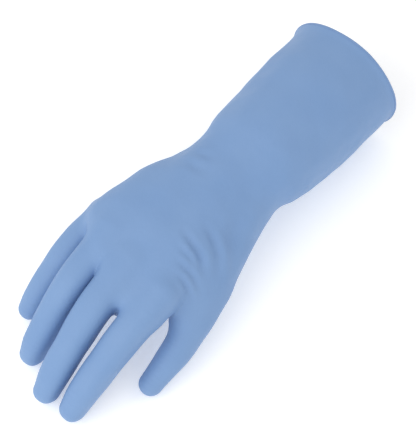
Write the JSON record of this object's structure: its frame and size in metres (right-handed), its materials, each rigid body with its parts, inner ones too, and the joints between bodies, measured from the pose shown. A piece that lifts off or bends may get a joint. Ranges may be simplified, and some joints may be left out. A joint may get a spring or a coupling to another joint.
{
  "type": "rubber glove",
  "caption": "Long-cuffed household rubber glove for the right hand, palm down in its worn shape, with a rolled bead at the cuff and joints at the wrist and in every finger.",
  "frame": {"origin": "centre of the mouth of the cuff, in the plane of the film edge", "axes": "-Y runs from the mouth to the fingertips, +Z is the back of the hand, +X is the side of the thumb; the cuff opens towards +Y"},
  "size_m": [0.1163, 0.2896, 0.0838],
  "materials": {
    "cuff_bead": "matte dipped rubber, rolled edge",
    "cuff": "matte dipped rubber",
    "hand": "matte dipped rubber, wrinkled beside the thumb",
    "fingers": "matte dipped rubber"
  },
  "bodies": {
    "cuff": {"gauntlet": "cuff", "cuff_bead": "cuff_bead"},
    "hand": {"hand": "hand"},
    "index_base": {"index_base": "fingers"},
    "index_middle": {"index_middle": "fingers"},
    "index_tip": {"index_tip": "fingers"},
    "middle_base": {"middle_base": "fingers"},
    "middle_middle": {"middle_middle": "fingers"},
    "middle_tip": {"middle_tip": "fingers"},
    "ring_base": {"ring_base": "fingers"},
    "ring_middle": {"ring_middle": "fingers"},
    "ring_tip": {"ring_tip": "fingers"},
    "little_base": {"little_base": "fingers"},
    "little_middle": {"little_middle": "fingers"},
    "little_tip": {"little_tip": "fingers"},
    "thumb_base": {"thumb_base": "fingers"},
    "thumb_tip": {"thumb_tip": "fingers"}
  },
  "joints": [
    {"name": "wrist", "type": "hinge", "parent": "cuff", "child": "hand", "pos_m": [-0.0103, -0.108, 0.0043], "axis": [1, 0, 0], "range_deg": [-20, 30], "stiffness_Nm_per_rad": 0.5},
    {"name": "index_knuckle", "type": "hinge", "parent": "hand", "child": "index_base", "pos_m": [0.00277, -0.23402, -0.00098], "axis": [1, 0, 0], "range_deg": [-10, 40], "stiffness_Nm_per_rad": 0.03},
    {"name": "index_middle_joint", "type": "hinge", "parent": "index_base", "child": "index_middle", "pos_m": [0.00062, -0.25379, -0.01063], "axis": [1, 0, 0], "range_deg": [-5, 55], "stiffness_Nm_per_rad": 0.012},
    {"name": "index_tip_joint", "type": "hinge", "parent": "index_middle", "child": "index_tip", "pos_m": [-0.00153, -0.27203, -0.02293], "axis": [1, 0, 0], "range_deg": [-5, 35], "stiffness_Nm_per_rad": 0.005},
    {"name": "middle_knuckle", "type": "hinge", "parent": "hand", "child": "middle_base", "pos_m": [-0.02196, -0.23241, 0.00262], "axis": [1, 0, 0], "range_deg": [-10, 40], "stiffness_Nm_per_rad": 0.03},
    {"name": "middle_middle_joint", "type": "hinge", "parent": "middle_base", "child": "middle_middle", "pos_m": [-0.02194, -0.253, -0.00764], "axis": [1, 0, 0], "range_deg": [-5, 55], "stiffness_Nm_per_rad": 0.012},
    {"name": "middle_tip_joint", "type": "hinge", "parent": "middle_middle", "child": "middle_tip", "pos_m": [-0.02191, -0.2716, -0.02116], "axis": [1, 0, 0], "range_deg": [-5, 35], "stiffness_Nm_per_rad": 0.005},
    {"name": "ring_knuckle", "type": "hinge", "parent": "hand", "child": "ring_base", "pos_m": [-0.04394, -0.22304, 0.00192], "axis": [1, 0, 0], "range_deg": [-10, 40], "stiffness_Nm_per_rad": 0.03},
    {"name": "ring_middle_joint", "type": "hinge", "parent": "ring_base", "child": "ring_middle", "pos_m": [-0.04427, -0.24166, -0.00883], "axis": [1, 0, 0], "range_deg": [-5, 55], "stiffness_Nm_per_rad": 0.012},
    {"name": "ring_tip_joint", "type": "hinge", "parent": "ring_middle", "child": "ring_tip", "pos_m": [-0.04461, -0.25826, -0.02326], "axis": [1, 0, 0], "range_deg": [-5, 35], "stiffness_Nm_per_rad": 0.005},
    {"name": "little_knuckle", "type": "hinge", "parent": "hand", "child": "little_base", "pos_m": [-0.06409, -0.20547, -0.00603], "axis": [1, 0, 0], "range_deg": [-10, 40], "stiffness_Nm_per_rad": 0.03},
    {"name": "little_middle_joint", "type": "hinge", "parent": "little_base", "child": "little_middle", "pos_m": [-0.06504, -0.22165, -0.015], "axis": [1, 0, 0], "range_deg": [-5, 55], "stiffness_Nm_per_rad": 0.012},
    {"name": "little_tip_joint", "type": "hinge", "parent": "little_middle", "child": "little_tip", "pos_m": [-0.06596, -0.23583, -0.02608], "axis": [1, 0, 0], "range_deg": [-5, 35], "stiffness_Nm_per_rad": 0.005},
    {"name": "thumb_knuckle", "type": "hinge", "parent": "hand", "child": "thumb_base", "pos_m": [0.0273, -0.206, -0.0186], "axis": [1, 0, 0], "range_deg": [-10, 25], "stiffness_Nm_per_rad": 0.03},
    {"name": "thumb_tip_joint", "type": "hinge", "parent": "thumb_base", "child": "thumb_tip", "pos_m": [0.028, -0.222, -0.0246], "axis": [1, 0, 0], "range_deg": [-5, 40], "stiffness_Nm_per_rad": 0.008}
  ]
}
